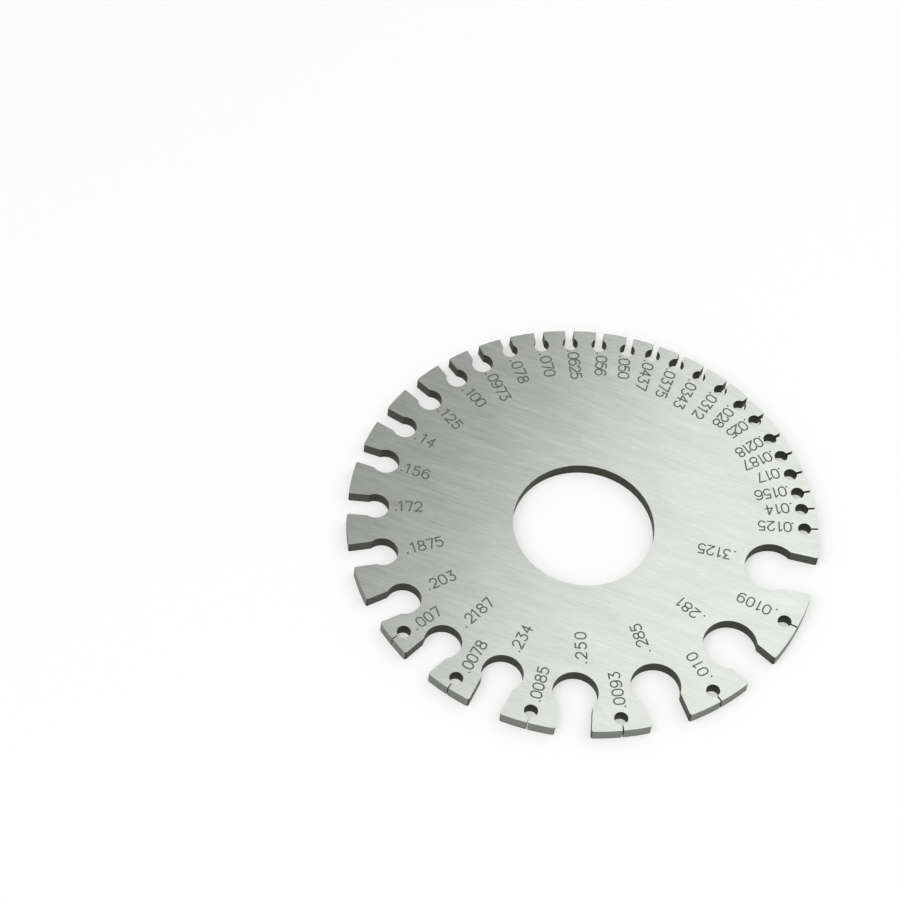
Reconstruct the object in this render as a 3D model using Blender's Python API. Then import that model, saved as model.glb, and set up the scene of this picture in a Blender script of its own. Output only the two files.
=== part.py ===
"""Round wire gauge: a flat steel disc with one graduated slot for each gauge size.

Every slot runs in from the rim with parallel sides and ends in a round relief hole, so that a wire or a sheet
can be tried in it and drawn out again. The disc lies flat, its underside on z = 0, its middle on the Z axis
and its marked side up. Lengths are in metres and angles in degrees, counted from +X towards +Y.
"""

from math import acos, asin, ceil, cos, pi, radians, sin

import bmesh
import bpy
from mathutils import Matrix, Vector

INCH = 0.0254

DISC_DIAMETER = 0.085
DISC_THICKNESS = 0.0024
CENTRE_HOLE_DIAMETER = 0.0255

# Drills that several relief holes share, and their settings, from the rim to the middle of the drilled hole.
SMALL_DRILL = 0.0028
SMALL_SETTING = 0.0029
FINE_DRILL = 0.0024
FINE_SETTING = 0.0025
TOOTH_DRILL = 0.0025
TOOTH_SETTING = 0.0025

# The slots of gauges 0 to 30, one after the other round the rim: gauge number, slot width in inches,
# direction of the slot, drill of its relief hole, and setting of that drill.
RIM_SLOTS = (
    (0, 0.3125, 354.3, 0.0097, 0.0081),
    (1, 0.28125, 323.6, 0.0098, 0.0076),
    (2, 0.285, 296.8, 0.0090, 0.0076),
    (3, 0.25, 273.1, 0.0082, 0.0077),
    (4, 0.234375, 251.3, 0.0075, 0.0077),
    (5, 0.21875, 231.8, 0.0068, 0.0066),
    (6, 0.203125, 214.3, 0.0063, 0.0061),
    (7, 0.1875, 198.1, 0.0056, 0.0057),
    (8, 0.171875, 183.1, 0.0050, 0.0050),
    (9, 0.15625, 168.1, 0.0050, 0.0049),
    (10, 0.140625, 155.4, 0.0044, 0.0048),
    (11, 0.125, 143.7, 0.0044, 0.0047),
    (12, 0.1, 133.0, 0.0039, 0.0042),
    (13, 0.09375, 124.3, 0.0039, 0.0037),
    (14, 0.078125, 115.6, SMALL_DRILL, SMALL_SETTING),
    (15, 0.0703125, 106.9, SMALL_DRILL, SMALL_SETTING),
    (16, 0.0625, 99.1, SMALL_DRILL, SMALL_SETTING),
    (17, 0.05625, 91.4, SMALL_DRILL, SMALL_SETTING),
    (18, 0.05, 83.7, SMALL_DRILL, SMALL_SETTING),
    (19, 0.04375, 76.9, SMALL_DRILL, FINE_SETTING),
    (20, 0.0375, 70.1, SMALL_DRILL, FINE_SETTING),
    (21, 0.034375, 63.3, FINE_DRILL, FINE_SETTING),
    (22, 0.03125, 56.4, FINE_DRILL, FINE_SETTING),
    (23, 0.028125, 49.6, FINE_DRILL, FINE_SETTING),
    (24, 0.025, 43.7, FINE_DRILL, FINE_SETTING),
    (25, 0.021875, 36.9, FINE_DRILL, FINE_SETTING),
    (26, 0.01875, 31.0, FINE_DRILL, FINE_SETTING),
    (27, 0.0171875, 25.0, FINE_DRILL, FINE_SETTING),
    (28, 0.015625, 19.1, FINE_DRILL, FINE_SETTING),
    (29, 0.0140625, 14.1, FINE_DRILL, FINE_SETTING),
    (30, 0.0125, 8.1, FINE_DRILL, FINE_SETTING),
)

# The thinnest slots, gauges 31 to 36, each in the tooth between two wide ones: gauge number, slot width in
# inches, and the gauge numbers of the two slots that it stands halfway between.
TOOTH_SLOTS = (
    (31, 0.0109375, 0, 1),
    (32, 0.01015625, 1, 2),
    (33, 0.009375, 2, 3),
    (34, 0.00859375, 3, 4),
    (35, 0.0078125, 4, 5),
    (36, 0.00703125, 5, 6),
)

# Flats of a round edge stay this close to the true circle.
FACET_ERROR = 0.00001
# How far a cutter reaches past the rim and past each face.
CUTTER_OVERRUN = 0.001
# Walls that meet at more than this angle keep a sharp edge.
SHARP_EDGE_ANGLE = 30.0

RIM_RADIUS = DISC_DIAMETER / 2
CUTTER_HEIGHT = DISC_THICKNESS + 2 * CUTTER_OVERRUN


def facets(radius):
    """Number of flats that a full circle of this radius needs."""
    return ceil(pi / acos(1 - FACET_ERROR / radius))


def add_round_bar(shape, diameter, bottom, height):
    """A solid round bar on the Z axis."""
    bmesh.ops.create_cone(
        shape,
        cap_ends=True,
        segments=facets(diameter / 2),
        radius1=diameter / 2,
        radius2=diameter / 2,
        depth=height,
        matrix=Matrix.Translation((0, 0, bottom + height / 2)),
    )


def keyhole_outline(width, drill, setting):
    """Points of a slot and its relief hole, with the hole's middle at the origin and the rim towards +X."""
    hole_radius = drill / 2
    mouth = asin(width / 2 / hole_radius)
    steps = facets(hole_radius)
    points = [
        (setting + CUTTER_OVERRUN, -width / 2),
        (setting + CUTTER_OVERRUN, width / 2),
    ]
    for step in range(steps + 1):
        angle = mouth + (2 * pi - 2 * mouth) * step / steps
        points.append((hole_radius * cos(angle), hole_radius * sin(angle)))
    return points


def add_keyhole_cutter(shape, width, direction, drill, setting):
    """An upright prism that cuts one slot and its relief hole through the disc."""
    turn = Matrix.Rotation(radians(direction), 4, "Z")
    place = turn @ Matrix.Translation((RIM_RADIUS - setting, 0, -CUTTER_OVERRUN))
    corners = []
    for x, y in keyhole_outline(width, drill, setting):
        corners.append(shape.verts.new(place @ Vector((x, y, 0))))
    base = shape.faces.new(corners)
    prism = bmesh.ops.extrude_face_region(shape, geom=[base])
    top = [item for item in prism["geom"] if isinstance(item, bmesh.types.BMVert)]
    bmesh.ops.translate(shape, vec=(0, 0, CUTTER_HEIGHT), verts=top)


def halfway(first, second):
    """The direction in the middle of the tooth between two neighbouring slots."""
    return second + ((first - second) % 360) / 2


def add_slot_cutters(shape):
    """The cutters of all the slots, widest to thinnest."""
    directions = {}
    for gauge, inches, direction, drill, setting in RIM_SLOTS:
        directions[gauge] = direction
        add_keyhole_cutter(shape, inches * INCH, direction, drill, setting)
    for gauge, inches, first, second in TOOTH_SLOTS:
        direction = halfway(directions[first], directions[second])
        add_keyhole_cutter(shape, inches * INCH, direction, TOOTH_DRILL, TOOTH_SETTING)


def make_object(name, shape):
    """Turn a bmesh into an object whose upright walls are shaded smooth."""
    bmesh.ops.recalc_face_normals(shape, faces=shape.faces)
    for face in shape.faces:
        face.smooth = abs(face.normal.z) < 0.5
    mesh = bpy.data.meshes.new(name)
    shape.to_mesh(mesh)
    shape.free()
    made = bpy.data.objects.new(name, mesh)
    bpy.context.scene.collection.objects.link(made)
    return made


def brushed_steel():
    """Stainless steel with a fine straight grain, as the faces of the disc have."""
    steel = bpy.data.materials.new("brushed_stainless_steel")
    steel.use_nodes = True
    shader = steel.node_tree.nodes["Principled BSDF"]
    shader.inputs["Base Color"].default_value = (0.62, 0.63, 0.62, 1)
    shader.inputs["Metallic"].default_value = 1
    shader.inputs["Roughness"].default_value = 0.32
    return steel


def build_gauge_disc():
    """The blank, with its centre hole and all its slots cut through by one cutter."""
    blank = bmesh.new()
    add_round_bar(blank, DISC_DIAMETER, 0, DISC_THICKNESS)
    disc = make_object("gauge_disc", blank)

    cuts = bmesh.new()
    add_round_bar(cuts, CENTRE_HOLE_DIAMETER, -CUTTER_OVERRUN, CUTTER_HEIGHT)
    add_slot_cutters(cuts)
    cutter = make_object("slot_cutters", cuts)

    saw = disc.modifiers.new("slots and centre hole", "BOOLEAN")
    saw.operation = "DIFFERENCE"
    saw.solver = "EXACT"
    saw.object = cutter

    view = bpy.context.evaluated_depsgraph_get()
    disc.data = bpy.data.meshes.new_from_object(disc.evaluated_get(view))
    disc.modifiers.remove(saw)
    bpy.data.objects.remove(cutter)
    disc.data.set_sharp_from_angle(angle=radians(SHARP_EDGE_ANGLE))
    disc.data.materials.clear()
    disc.data.materials.append(brushed_steel())


for leftover in list(bpy.data.objects):
    bpy.data.objects.remove(leftover)
build_gauge_disc()
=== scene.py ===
"""Looks of a round wire gauge: a brushed stainless steel disc with graduated slots and engraved sizes.

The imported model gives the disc's place and size, in metres. The disc lies flat on a pale table, with its
marked side up.
"""

from math import atan2, cos, pi, radians, sin

import bmesh
import bpy
from mathutils import Matrix, Vector


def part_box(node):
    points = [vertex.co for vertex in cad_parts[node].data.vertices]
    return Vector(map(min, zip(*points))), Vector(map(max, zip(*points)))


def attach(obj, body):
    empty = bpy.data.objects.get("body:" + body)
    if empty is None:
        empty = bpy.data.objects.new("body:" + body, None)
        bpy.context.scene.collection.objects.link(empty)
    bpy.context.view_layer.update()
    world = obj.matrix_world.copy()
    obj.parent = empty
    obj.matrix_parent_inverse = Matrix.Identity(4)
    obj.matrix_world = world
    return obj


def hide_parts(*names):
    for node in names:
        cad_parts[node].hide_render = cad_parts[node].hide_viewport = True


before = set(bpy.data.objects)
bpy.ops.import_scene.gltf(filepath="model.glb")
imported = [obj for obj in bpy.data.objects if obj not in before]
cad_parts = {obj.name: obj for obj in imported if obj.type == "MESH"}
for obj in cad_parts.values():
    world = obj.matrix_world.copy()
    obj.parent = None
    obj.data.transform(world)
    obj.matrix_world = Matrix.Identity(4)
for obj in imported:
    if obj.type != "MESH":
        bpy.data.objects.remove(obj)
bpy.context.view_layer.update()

# The disc
# One flat blank of stainless steel sheet, with its rim, centre hole and slots cut square through it. The
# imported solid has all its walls. Here its triangles are joined, the corners of the slots' mouths are
# rounded and the edges are broken.

mm = 0.001
disc_low, disc_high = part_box("gauge_disc")
disc_top = disc_high.z
rim_radius = disc_high.x
most_mouth_rounding = 0.4 * mm
mouth_rounding_share = 0.07
edge_break = 0.12 * mm
joined_within = 0.001 * mm
same_wall_angle = radians(0.5)
mouth_corner_angle = radians(30)
square_edge_angle = radians(80)
near_rim = 0.999
tolerance = 0.01 * mm


def upright_edges(shape):
    """The edges that run from the underside to the marked side."""
    return [edge for edge in shape.edges if abs(edge.verts[0].co.z - edge.verts[1].co.z) > disc_top / 2]


def place_of(edge):
    """Where an upright edge stands, seen from above."""
    return edge.verts[0].co.xy


def turn_between(first, second):
    """The angle clockwise from one place to another, round the disc's middle."""
    return (atan2(first.y, first.x) - atan2(second.y, second.x)) % (2 * pi)


def break_edges(shape, edges, width, segments):
    """Round the edges of a solid off."""
    bmesh.ops.bevel(
        shape,
        geom=edges,
        affect="EDGES",
        offset=width,
        offset_type="OFFSET",
        segments=segments,
        profile=0.5,
        material=-1,
        loop_slide=False,
        clamp_overlap=True,
    )


def make_piece(name, shape):
    """Turn a bmesh into an object in the scene, with its place in its mesh."""
    mesh = bpy.data.meshes.new(name)
    shape.to_mesh(mesh)
    shape.free()
    made = bpy.data.objects.new(name, mesh)
    bpy.context.scene.collection.objects.link(made)
    return made


body = bmesh.new()
body.from_mesh(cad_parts["gauge_disc"].data)
bmesh.ops.remove_doubles(body, verts=body.verts, dist=joined_within)
bmesh.ops.dissolve_limit(body, angle_limit=same_wall_angle, verts=body.verts, edges=body.edges)

on_rim = [edge for edge in upright_edges(body) if place_of(edge).length > near_rim * rim_radius]
mouth_corners = [edge for edge in on_rim if edge.calc_face_angle() > mouth_corner_angle]
corner_places = [place_of(edge).copy() for edge in mouth_corners]

# Each slot has its direction, halfway between its two mouth corners, its width and those corners. It lies
# clockwise of the corner whose rim wall runs on anticlockwise. The list goes clockwise from the widest slot.
slots = []
for edge in mouth_corners:
    corner = place_of(edge)
    rim_wall = max(edge.link_faces, key=lambda wall: abs(wall.normal.xy.dot(corner.normalized())))
    if corner.x * rim_wall.calc_center_median().y > corner.y * rim_wall.calc_center_median().x:
        others = [other for other in mouth_corners if other != edge]
        opposite = min(others, key=lambda other: turn_between(corner, place_of(other)))
        middle = corner + place_of(opposite)
        direction = atan2(middle.y, middle.x) % (2 * pi)
        slots.append((direction, (corner - place_of(opposite)).length, [edge, opposite]))
slots.sort(key=lambda slot: slot[0], reverse=True)

# The rim's facet lines right beside the mouths are cleared away first, where the corners are rounded.
beside_mouths = []
for edge in on_rim:
    gap = min((place_of(edge) - place).length for place in corner_places)
    if tolerance < gap < 2 * most_mouth_rounding:
        beside_mouths.append(edge)
bmesh.ops.dissolve_edges(body, edges=beside_mouths, use_verts=True)
for direction, slot_width, corners in slots:
    break_edges(body, corners, min(most_mouth_rounding, mouth_rounding_share * slot_width), 3)

upright = set(upright_edges(body))
level_edges = [edge for edge in body.edges if edge not in upright]
square_edges = [edge for edge in level_edges if edge.calc_face_angle() > square_edge_angle]
break_edges(body, square_edges, edge_break, 2)
disc = make_piece("marked_steel_disc", body)


def linear(code):
    """The linear colour of an sRGB hex code."""
    colour = []
    for place in (1, 3, 5):
        share = int(code[place : place + 2], 16) / 255
        colour.append(share / 12.92 if share <= 0.04045 else ((share + 0.055) / 1.055) ** 2.4)
    return colour + [1]


def add_node(material, kind, inputs, **settings):
    """Add a node with its settings, and set or link its inputs."""
    made = material.node_tree.nodes.new(kind)
    for name, value in settings.items():
        setattr(made, name, value)
    for name, value in inputs.items():
        if isinstance(value, bpy.types.NodeSocket):
            material.node_tree.links.new(value, made.inputs[name])
        else:
            made.inputs[name].default_value = value
    return made


def new_steel(name, roughness):
    """A plain steel and its shader, to which the marks of its making are added."""
    steel = bpy.data.materials.new(name)
    steel.use_nodes = True
    shader = steel.node_tree.nodes["Principled BSDF"]
    shader.inputs["Metallic"].default_value = 1
    shader.inputs["Roughness"].default_value = roughness
    return steel, shader


def marks_on(material, length, width, direction, detail):
    """Marks of a tool: a noise whose patches have a real length and width, and lie along a direction."""
    place = add_node(material, "ShaderNodeTexCoord", {})
    patch = {
        "Vector": place.outputs["Object"],
        "Rotation": (0, 0, direction),
        "Scale": (length, width, 1),
    }
    stretched = add_node(material, "ShaderNodeMapping", patch, vector_type="TEXTURE")
    noise = {"Vector": stretched.outputs["Vector"], "Scale": 1, "Detail": detail, "Roughness": 0.6}
    return add_node(material, "ShaderNodeTexNoise", noise).outputs["Fac"]


def colour_with_marks(material, shader, code, marks):
    """Colour a surface and let its marks lighten and darken it.

    Each kind of marks comes with its noise, the noise's low and high level, and the change of shade at both.
    """
    shade = 1
    for noise, low, high, least, most in marks:
        levels = {"Value": noise, "From Min": low, "From Max": high, "To Min": least, "To Max": most}
        change = add_node(material, "ShaderNodeMapRange", levels)
        both = {0: shade, 1: change.outputs["Result"]}
        shade = add_node(material, "ShaderNodeMath", both, operation="ADD").outputs["Value"]
    tint = add_node(material, "ShaderNodeHueSaturation", {"Color": linear(code), "Value": shade})
    material.node_tree.links.new(tint.outputs["Color"], shader.inputs["Base Color"])


# Belt-ground stainless steel: satin, slightly greenish grey, with fine straight lines that spread its gloss
# across them. Real lines are about 0.05 mm apart, and they are drawn at 0.25 mm so that they show.
grain_direction = radians(-14)
scratch_direction = grain_direction - radians(9)
stain_direction = radians(50)
face_steel, shader = new_steel("belt_ground_stainless_steel", 0.24)
fine_lines = marks_on(face_steel, 7 * mm, 0.25 * mm, grain_direction, 2)
short_lines = marks_on(face_steel, 2 * mm, 0.3 * mm, grain_direction, 1)
soft_lines = marks_on(face_steel, 9 * mm, 0.8 * mm, grain_direction, 2)
long_bands = marks_on(face_steel, 30 * mm, 2.2 * mm, grain_direction, 2)
blotches = marks_on(face_steel, 11 * mm, 5 * mm, grain_direction, 3)
scratches = marks_on(face_steel, 16 * mm, 0.3 * mm, scratch_direction, 0)
stains = marks_on(face_steel, 1.8 * mm, 1.2 * mm, stain_direction, 2)
face_marks = (
    (fine_lines, 0.3, 0.7, -0.04, 0.04),
    (short_lines, 0.3, 0.7, -0.025, 0.025),
    (soft_lines, 0.3, 0.7, -0.03, 0.03),
    (long_bands, 0.3, 0.7, -0.03, 0.03),
    (blotches, 0.3, 0.7, -0.04, 0.04),
    (scratches, 0.7, 0.8, 0, 0.07),
    (stains, 0.66, 0.76, 0, -0.06),
)
colour_with_marks(face_steel, shader, "#c4c7c2", face_marks)
levels = {"Value": soft_lines, "From Min": 0.3, "From Max": 0.7, "To Min": 0.225, "To Max": 0.255}
gloss = add_node(face_steel, "ShaderNodeMapRange", levels)
face_steel.node_tree.links.new(gloss.outputs["Result"], shader.inputs["Roughness"])
furrows = add_node(face_steel, "ShaderNodeMath", {0: fine_lines, 1: short_lines}, operation="ADD")
relief = {"Height": furrows.outputs["Value"], "Strength": 1, "Distance": 0.0035 * mm}
ground = add_node(face_steel, "ShaderNodeBump", relief)
face_steel.node_tree.links.new(ground.outputs["Normal"], shader.inputs["Normal"])
across = add_node(face_steel, "ShaderNodeTangent", {}, direction_type="UV_MAP", uv_map="across_the_grain")
face_steel.node_tree.links.new(across.outputs["Tangent"], shader.inputs["Tangent"])
shader.inputs["Anisotropic"].default_value = 0.9

# Wall of the rim: sheared and linished stainless steel, duller and darker than the faces, with upright
# marks. Their coarseness keeps it from shining like a mirror at a glancing view.
rim_steel, shader = new_steel("linished_stainless_steel", 0.42)
rim_marks = marks_on(rim_steel, 0.25 * mm, 0.25 * mm, 0, 3)
colour_with_marks(rim_steel, shader, "#868883", [(rim_marks, 0.3, 0.7, -0.1, 0.1)])
shader.inputs["Specular Tint"].default_value = linear("#e1e1e1")

# Walls of the drilled holes: stainless steel as the drill left it, matt with close upright marks. Its dark
# colour is painted shade, standing for the shade and dark reflections deep in the holes.
hole_steel_with_painted_shade, shader = new_steel("drilled_steel_with_painted_shade", 0.55)
hole_marks = marks_on(hole_steel_with_painted_shade, 0.2 * mm, 0.2 * mm, 0, 3)
colour_with_marks(hole_steel_with_painted_shade, shader, "#44453e", [(hole_marks, 0.3, 0.7, -0.25, 0.25)])

# Sides of the slots: the same steel, ground to the slot's width and a little smoother. Its dark colour is
# painted shade of the narrow slots, a little lighter than the painted shade in the holes.
side_steel_with_painted_shade, shader = new_steel("slot_ground_steel_with_painted_shade", 0.48)
side_marks = marks_on(side_steel_with_painted_shade, 0.3 * mm, 0.3 * mm, 0, 3)
colour_with_marks(side_steel_with_painted_shade, shader, "#585853", [(side_marks, 0.3, 0.7, -0.2, 0.2)])
shader.inputs["Specular Tint"].default_value = linear("#e1e1e1")

# Broken edges: the same steel, brushed over by hand, so it is bright and a little rough.
edge_steel, shader = new_steel("brushed_over_stainless_steel", 0.35)
edge_marks = marks_on(edge_steel, 0.6 * mm, 0.6 * mm, 0, 2)
colour_with_marks(edge_steel, shader, "#b9bdb7", [(edge_marks, 0.3, 0.7, -0.1, 0.08)])
shader.inputs["Specular Tint"].default_value = linear("#c8c8c8")

# How far a face's direction leans: straight up on the faces, aslant on broken edges, sideways on walls.
face_lean = 0.99
edge_lean = 0.05
straight_side = 0.999
rim_wall_share = 0.998
steels = (face_steel, edge_steel, rim_steel, side_steel_with_painted_shade, hole_steel_with_painted_shade)


def on_slot_side(wall):
    """Whether an upright wall is one of the two straight sides of a slot."""
    for direction, slot_width, corners in slots:
        seen_along = Matrix.Rotation(-direction, 3, "Z")
        middle = seen_along @ wall.center
        if middle.x > 0 and abs(abs(middle.y) - slot_width / 2) < tolerance:
            return abs((seen_along @ wall.normal).y) > straight_side
    return False


for steel in steels:
    disc.data.materials.append(steel)
for face in disc.data.polygons:
    if abs(face.normal.z) > face_lean:
        steel = face_steel
    elif abs(face.normal.z) > edge_lean:
        steel = edge_steel
    elif face.center.xy.length > rim_wall_share * rim_radius:
        steel = rim_steel
    elif on_slot_side(face):
        # Slot sides get the steel whose dark colour is painted shade.
        steel = side_steel_with_painted_shade
    else:
        # Hole walls get the steel whose dark colour is painted shade.
        steel = hole_steel_with_painted_shade
    face.material_index = steels.index(steel)

# The size marks
# Each slot's width in inches is engraved beside its relief hole, in single-line figures that run inwards
# from a point, as an engraving machine's cutter draws them: about 0.28 mm wide, round at the ends and
# filled dark.

figure_height = 1.95 * mm
stroke_width = 0.28 * mm
point_width = 0.36 * mm
mark_depth = 0.05 * mm
cutter_overrun = 0.05 * mm

# Degrees from one point of a curve to the next, and the number of sides of a round pen.
curve_step = 15
pen_sides = 12

# Shares of the figure's height: the gap between two figures, what a 1 adds to it, and the point's height.
figure_gap = 0.21
gap_after_one = 0.21
point_rise = 0.05

# Strokes of each figure for a height of 1: a corner is (x, y) and a curve is (middle x, middle y, half
# width, half height, first angle, last angle). The first number is the figure's width.
figures = {
    "0": (0.64, [[(0.32, 0.66, 0.32, 0.34, 0, 180), (0.32, 0.34, 0.32, 0.34, 180, 360), (0.64, 0.66)]]),
    "1": (0.24, [[(0.0, 0.84), (0.24, 1.0)], [(0.24, 1.0), (0.24, 0.0)]]),
    "2": (0.64, [[(0.32, 0.68, 0.31, 0.32, 165, -35), (0.02, 0.0)], [(0.02, 0.0), (0.64, 0.0)]]),
    "3": (
        0.62,
        [
            [(0.04, 1.0), (0.56, 1.0)],
            [(0.56, 1.0), (0.27, 0.61)],
            [(0.27, 0.61), (0.3, 0.3, 0.31, 0.3, 80, -145)],
        ],
    ),
    "4": (0.64, [[(0.44, 0.0), (0.44, 1.0)], [(0.44, 1.0), (0.0, 0.32)], [(0.0, 0.32), (0.64, 0.32)]]),
    "5": (
        0.62,
        [
            [(0.54, 1.0), (0.08, 1.0)],
            [(0.08, 1.0), (0.05, 0.56)],
            [(0.05, 0.56), (0.29, 0.33, 0.33, 0.33, 125, -145)],
        ],
    ),
    "6": (0.64, [[(0.36, 0.64, 0.36, 0.36, 45, 180), (0.0, 0.33)], [(0.32, 0.33, 0.32, 0.33, 0, 360)]]),
    "7": (0.62, [[(0.0, 1.0), (0.62, 1.0)], [(0.62, 1.0), (0.27, 0.0)]]),
    "8": (0.68, [[(0.34, 0.77, 0.28, 0.23, 0, 360)], [(0.34, 0.27, 0.34, 0.27, 0, 360)]]),
    "9": (0.64, [[(0.28, 0.36, 0.36, 0.36, 225, 360), (0.64, 0.67)], [(0.32, 0.67, 0.32, 0.33, 0, 360)]]),
}

# One row for each slot, clockwise from the widest, in millimetres and degrees: the figures, how far from the
# disc's middle the first one starts and the last one ends, how far their foot lies beside the slot's middle
# line, how much the row is turned from that line, and how far before the first figure the point stands. The
# marks were engraved one at a time, a little askew, so each has a place of its own.
size_marks = (
    ("3125", 26.7, 20.9, 1.6, 0.0, 0.8),
    ("0109", 36.8, 30.6, 1.6, 1.0, 1.0),
    ("281", 26.8, 22.8, 1.3, 0.0, 1.0),
    ("010", 36.6, 31.9, 1.6, -3.0, 0.9),
    ("285", 26.8, 22.3, 1.8, -3.0, 1.2),
    ("0093", 37.2, 30.8, 1.2, 0.0, 0.5),
    ("250", 27.8, 22.5, 1.7, 4.0, 0.8),
    ("0085", 37.2, 30.9, 1.1, 0.0, 0.5),
    ("234", 28.8, 24.0, 0.9, -1.0, 0.6),
    ("0078", 37.1, 31.0, 1.2, 6.5, 0.6),
    ("2187", 29.6, 23.7, 0.8, 0.0, 1.1),
    ("007", 36.9, 32.2, 1.0, 2.0, 0.8),
    ("203", 30.7, 26.0, 0.4, 0.0, 0.6),
    ("1875", 31.5, 25.7, 1.0, 5.5, 0.9),
    ("172", 33.2, 29.1, 0.6, 5.0, 0.5),
    ("156", 33.7, 29.3, 1.0, 0.0, 0.6),
    ("14", 33.9, 31.3, 1.2, 0.0, 0.9),
    ("125", 34.4, 30.1, 1.0, -6.0, 0.6),
    ("100", 34.7, 30.8, 0.8, 4.0, 0.8),
    ("0973", 35.7, 29.8, 0.7, 0.0, 0.7),
    ("078", 36.8, 32.2, 0.8, 0.0, 0.6),
    ("070", 36.9, 32.6, 0.8, 2.0, 0.7),
    ("0625", 37.5, 31.8, 0.6, 3.0, 0.4),
    ("056", 37.2, 33.0, 0.3, 0.0, 0.6),
    ("050", 37.4, 33.1, 1.1, 8.5, 0.5),
    ("0437", 37.9, 31.9, 1.1, 4.0, 0.5),
    ("0375", 37.9, 32.0, 1.2, 6.0, 0.4),
    ("0343", 37.7, 31.7, 1.1, 5.0, 0.6),
    ("0312", 37.9, 32.2, 1.1, 6.0, 0.4),
    ("028", 37.8, 33.4, 1.4, 9.5, 0.5),
    ("025", 38.1, 34.1, 1.3, 1.0, 0.5),
    ("0218", 38.3, 32.9, 1.4, 4.0, 0.3),
    ("0187", 38.2, 32.7, 1.8, 2.0, 0.4),
    ("017", 38.0, 34.0, 1.9, 0.0, 0.4),
    ("0156", 38.0, 32.3, 1.8, 0.0, 0.4),
    ("014", 37.6, 33.4, 1.5, 3.0, 0.6),
    ("0125", 37.6, 31.7, 1.3, -2.5, 0.3),
)


def stroke_points(stroke):
    """The points of one stroke, with one for about every step of a curve."""
    points = []
    for item in stroke:
        if len(item) == 2:
            points.append(item)
            continue
        middle_x, middle_y, half_width, half_height, first, last = item
        steps = round(abs(last - first) / curve_step)
        for step in range(steps + 1):
            angle = radians(first + (last - first) * step / steps)
            points.append((middle_x + half_width * cos(angle), middle_y + half_height * sin(angle)))
    return points


def add_stroke(lines, pens, stroke, place):
    """One stroke of the cutter: a line for its path, and a round pen at each open end."""
    points = [place @ Vector((x, y, 0)) for x, y in stroke_points(stroke)]
    closed = (points[0] - points[-1]).length < tolerance
    if closed:
        points.pop()
    corners = [lines.verts.new(point) for point in points]
    for first, second in zip(corners, corners[1:]):
        lines.edges.new((first, second))
    if closed:
        lines.edges.new((corners[-1], corners[0]))
    else:
        add_pen(pens, points[0], stroke_width)
        add_pen(pens, points[-1], stroke_width)


def add_pen(pens, point, width):
    """The round cutter itself, where a stroke ends or a point is drilled."""
    height = mark_depth + cutter_overrun
    middle = point + Vector((0, 0, height / 2 if point.z > disc_top / 2 else -height / 2))
    bmesh.ops.create_cone(
        pens,
        cap_ends=True,
        segments=pen_sides,
        radius1=width / 2,
        radius2=width / 2,
        depth=height,
        matrix=Matrix.Translation(middle),
    )


def figure_places(text, length=None):
    """Where each figure starts in figure heights, spread out to the row's length if it has one."""
    starts = []
    reach = 0
    for figure in text:
        starts.append(reach)
        reach += figures[figure][0] + figure_gap + (gap_after_one if figure == "1" else 0)
    if length is None:
        return starts
    natural = starts[-1] + figures[text[-1]][0]
    spare = (length / figure_height - natural) / max(1, len(text) - 1)
    return [start + spare * number for number, start in enumerate(starts)]


def add_row(lines, pens, text, place, length=None):
    """A row of figures, from left to right along its own X axis."""
    for figure, start in zip(text, figure_places(text, length)):
        for stroke in figures[figure][1]:
            figure_place = place @ Matrix.Scale(figure_height, 4) @ Matrix.Translation((start, 0, 0))
            add_stroke(lines, pens, stroke, figure_place)


def engrave(piece, lines, pens, outwards, dark):
    """Cut strokes and pens into a face, whose outward side is 1 or -1, and leave the cuts dark."""
    raised = bmesh.ops.extrude_edge_only(lines, edges=lines.edges)
    moved = [item for item in raised["geom"] if isinstance(item, bmesh.types.BMVert)]
    bmesh.ops.translate(lines, vec=(0, 0, outwards * (mark_depth + cutter_overrun)), verts=moved)
    strokes = make_piece("engraving_strokes", lines)
    width = strokes.modifiers.new("width of the cutter", "SOLIDIFY")
    width.thickness = stroke_width
    width.offset = 0
    width.use_even_offset = True
    view = bpy.context.evaluated_depsgraph_get()
    pens.from_mesh(strokes.evaluated_get(view).to_mesh())
    cutter = make_piece("engraving_cutter", pens)
    cutter.data.materials.append(dark)
    engraving = piece.modifiers.new("engraving", "BOOLEAN")
    engraving.operation = "DIFFERENCE"
    engraving.solver = "EXACT"
    engraving.use_self = True
    engraving.material_mode = "TRANSFER"
    engraving.object = cutter
    view = bpy.context.evaluated_depsgraph_get()
    engraved = bpy.data.meshes.new_from_object(piece.evaluated_get(view))
    piece.modifiers.remove(engraving)
    piece.data = engraved
    bpy.data.objects.remove(strokes)
    bpy.data.objects.remove(cutter)


# Dark filling of the engraving: a matt grey-black oxide, slightly uneven from figure to figure.
dark_fill = bpy.data.materials.new("dark_fill_of_engraving")
dark_fill.use_nodes = True
shader = dark_fill.node_tree.nodes["Principled BSDF"]
shader.inputs["Roughness"].default_value = 0.7
fill_marks = marks_on(dark_fill, 0.5 * mm, 0.5 * mm, 0, 3)
colour_with_marks(dark_fill, shader, "#5e605d", [(fill_marks, 0.3, 0.7, -0.25, 0.35)])

floor_of_cut = Matrix.Translation((0, 0, disc_top - mark_depth))
lines = bmesh.new()
pens = bmesh.new()
for (direction, slot_width, corners), mark in zip(slots, size_marks):
    text, first, last, beside, turned, point = mark
    foot = Matrix.Rotation(direction, 4, "Z") @ Matrix.Translation((first * mm, beside * mm, 0))
    place = floor_of_cut @ foot @ Matrix.Rotation(pi + radians(turned), 4, "Z")
    add_row(lines, pens, text, place, (first - last) * mm)
    add_pen(pens, place @ Vector((-point * mm, point_rise * figure_height, 0)), point_width)
engrave(disc, lines, pens, 1, dark_fill)

# The gauge numbers
# The reverse carries the gauge number of each slot, engraved in the same figures, which read inwards from
# the relief holes when the disc is turned over.

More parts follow.
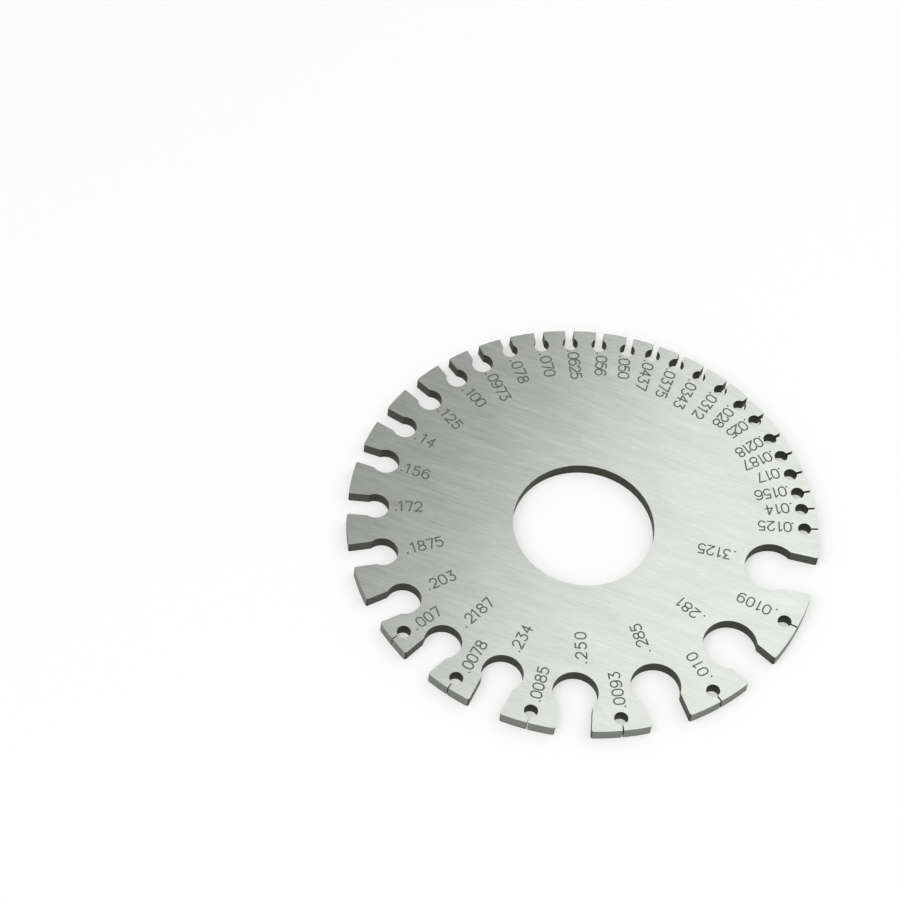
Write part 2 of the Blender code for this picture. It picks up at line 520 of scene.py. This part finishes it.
number_start = 36.5 * mm
gauge_numbers = [0, 31, 1, 32, 2, 33, 3, 34, 4, 35, 5, 36] + list(range(6, 31))
turned_over = Matrix.Rotation(pi, 4, "Z") @ Matrix.Rotation(pi, 4, "X")
lines = bmesh.new()
pens = bmesh.new()
for (direction, slot_width, corners), number, mark in zip(slots, gauge_numbers, size_marks):
    start = min(number_start, mark[1] * mm)
    foot = Matrix.Rotation(direction, 4, "Z") @ Matrix.Translation((start, -figure_height / 2, mark_depth))
    add_row(lines, pens, str(number), foot @ turned_over)
engrave(disc, lines, pens, -1, dark_fill)

# Corners that the cuts left in one place are merged, so that the skin is closed and has no slivers there.
same_place = 0.00001 * mm
skin = bmesh.new()
skin.from_mesh(disc.data)
bmesh.ops.remove_doubles(skin, verts=skin.verts, dist=same_place)
bmesh.ops.dissolve_degenerate(skin, edges=skin.edges, dist=same_place)
skin.to_mesh(disc.data)
skin.free()

# Faces stay flat, and walls, broken edges and cuts are smooth between their corners.
sharp_angle = radians(20)
disc.data.shade_smooth()
disc.data.set_sharp_from_angle(angle=sharp_angle)
for face in disc.data.polygons:
    face.use_smooth = abs(face.normal.z) < face_lean

# Flat coordinates of the faces: U runs across the grain, the way the gloss spreads, and V along it.
grain = disc.data.uv_layers.new(name="across_the_grain")
flat = Matrix.Rotation(-grain_direction, 3, "Z")
for loop, corner in zip(disc.data.loops, grain.data):
    place = flat @ disc.data.vertices[loop.vertex_index].co
    corner.uv = (place.y / rim_radius / 2 + 0.5, place.x / rim_radius / 2 + 0.5)

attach(disc, "root")
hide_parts("gauge_disc")

# The table
# A plain matt white tabletop, which takes the disc's soft shadow. It lies a hair below the disc's underside,
# so that the two faces don't coincide, and it glows a little so that it looks white without more light.

table_width = 6.0
table_drop = 0.01 * mm
white_share = 0.45
tabletop = bmesh.new()
level = Matrix.Translation((0, 0, disc_low.z - table_drop))
bmesh.ops.create_grid(tabletop, x_segments=1, y_segments=1, size=table_width / 2, matrix=level)
table = make_piece("pale_tabletop", tabletop)
pale_paint = bpy.data.materials.new("matt_white_paint")
pale_paint.use_nodes = True
shader = pale_paint.node_tree.nodes["Principled BSDF"]
shader.inputs["Base Color"].default_value = linear("#fbfbfb")
shader.inputs["Roughness"].default_value = 0.9
shader.inputs["Specular IOR Level"].default_value = 0.2
output = pale_paint.node_tree.nodes["Material Output"]
rays = add_node(pale_paint, "ShaderNodeLightPath", {})
seen = rays.outputs["Is Camera Ray"]
for ray in ("Is Glossy Ray", "Is Transmission Ray"):
    either = {0: seen, 1: rays.outputs[ray]}
    seen = add_node(pale_paint, "ShaderNodeMath", either, operation="MAXIMUM").outputs["Value"]
share = add_node(pale_paint, "ShaderNodeMath", {0: seen, 1: white_share}, operation="MULTIPLY")
white = add_node(pale_paint, "ShaderNodeEmission", {"Color": (1, 1, 1, 1), "Strength": 1})
both = {0: share.outputs["Value"], 1: shader.outputs["BSDF"], 2: white.outputs["Emission"]}
mixed = add_node(pale_paint, "ShaderNodeMixShader", both)
pale_paint.node_tree.links.new(mixed.outputs["Shader"], output.inputs["Surface"])
table.data.materials.append(pale_paint)

# The light
# A pale room, a large softbox behind the disc and another in front of it to the left. The marked side
# mirrors the one behind from a little left of the disc's middle to the right, and fades to the room's grey
# on the left.

room_level = 0.4
room = bpy.data.worlds.new("pale_room")
room.use_nodes = True
room.node_tree.nodes["Background"].inputs["Color"].default_value = (1, 1, 1, 1)
room.node_tree.nodes["Background"].inputs["Strength"].default_value = room_level
bpy.context.scene.world = room


def add_softbox(name, azimuth, elevation, distance, turn, shift, size, level):
    """A rectangular light that faces the disc, from behind it at azimuth 0, and is shifted to its right."""
    width, height = size
    lamp = bpy.data.lights.new(name, "AREA")
    lamp.shape = "RECTANGLE"
    lamp.size = width
    lamp.size_y = height
    lamp.energy = level * pi * width * height
    box = bpy.data.objects.new(name, lamp)
    stand = Matrix.Rotation(radians(azimuth), 4, "Z") @ Matrix.Rotation(radians(elevation - 90), 4, "X")
    reach = Matrix.Translation((0, 0, distance)) @ Matrix.Rotation(radians(turn), 4, "Z")
    box.matrix_world = stand @ reach @ Matrix.Translation((shift, 0, 0))
    box.visible_camera = False
    bpy.context.scene.collection.objects.link(box)


edge_of_reflection = -0.01
back_width = 1.0
add_softbox(
    "back_softbox",
    azimuth=0,
    elevation=60,
    distance=0.7,
    turn=-25,
    shift=edge_of_reflection + back_width / 2,
    size=(back_width, 0.9),
    level=1.09,
)
add_softbox(
    "front_softbox",
    azimuth=140,
    elevation=55,
    distance=1.3,
    turn=0,
    shift=0,
    size=(1.2, 1.2),
    level=2.1,
)

# The camera
# It looks down on the disc from the front, a little rolled, from about 0.72 m away, with a long lens. The
# disc's middle lies right of and below the middle of the picture.

picture_width = 901
picture_height = 900
lens = 161.2
view_elevation = radians(56.18)
view_roll = radians(7.87)
view_distance = 0.7231
disc_middle_in_picture = (583.7, 524.9)

sight = bpy.data.cameras.new("camera")
sight.lens = lens
sight.sensor_width = 36
camera = bpy.data.objects.new("camera", sight)
aim = Matrix.Rotation(pi / 2 - view_elevation, 3, "X") @ Matrix.Rotation(view_roll, 3, "Z")
pixel = sight.sensor_width / lens / picture_width
right = (disc_middle_in_picture[0] - picture_width / 2) * pixel
down = (disc_middle_in_picture[1] - picture_height / 2) * pixel
offset = view_distance * Vector((right, -down, -1))
camera.matrix_world = Matrix.Translation(Vector((0, 0, disc_top)) - aim @ offset) @ aim.to_4x4()
bpy.context.scene.collection.objects.link(camera)
bpy.context.scene.camera = camera
bpy.context.scene.view_settings.view_transform = "Standard"
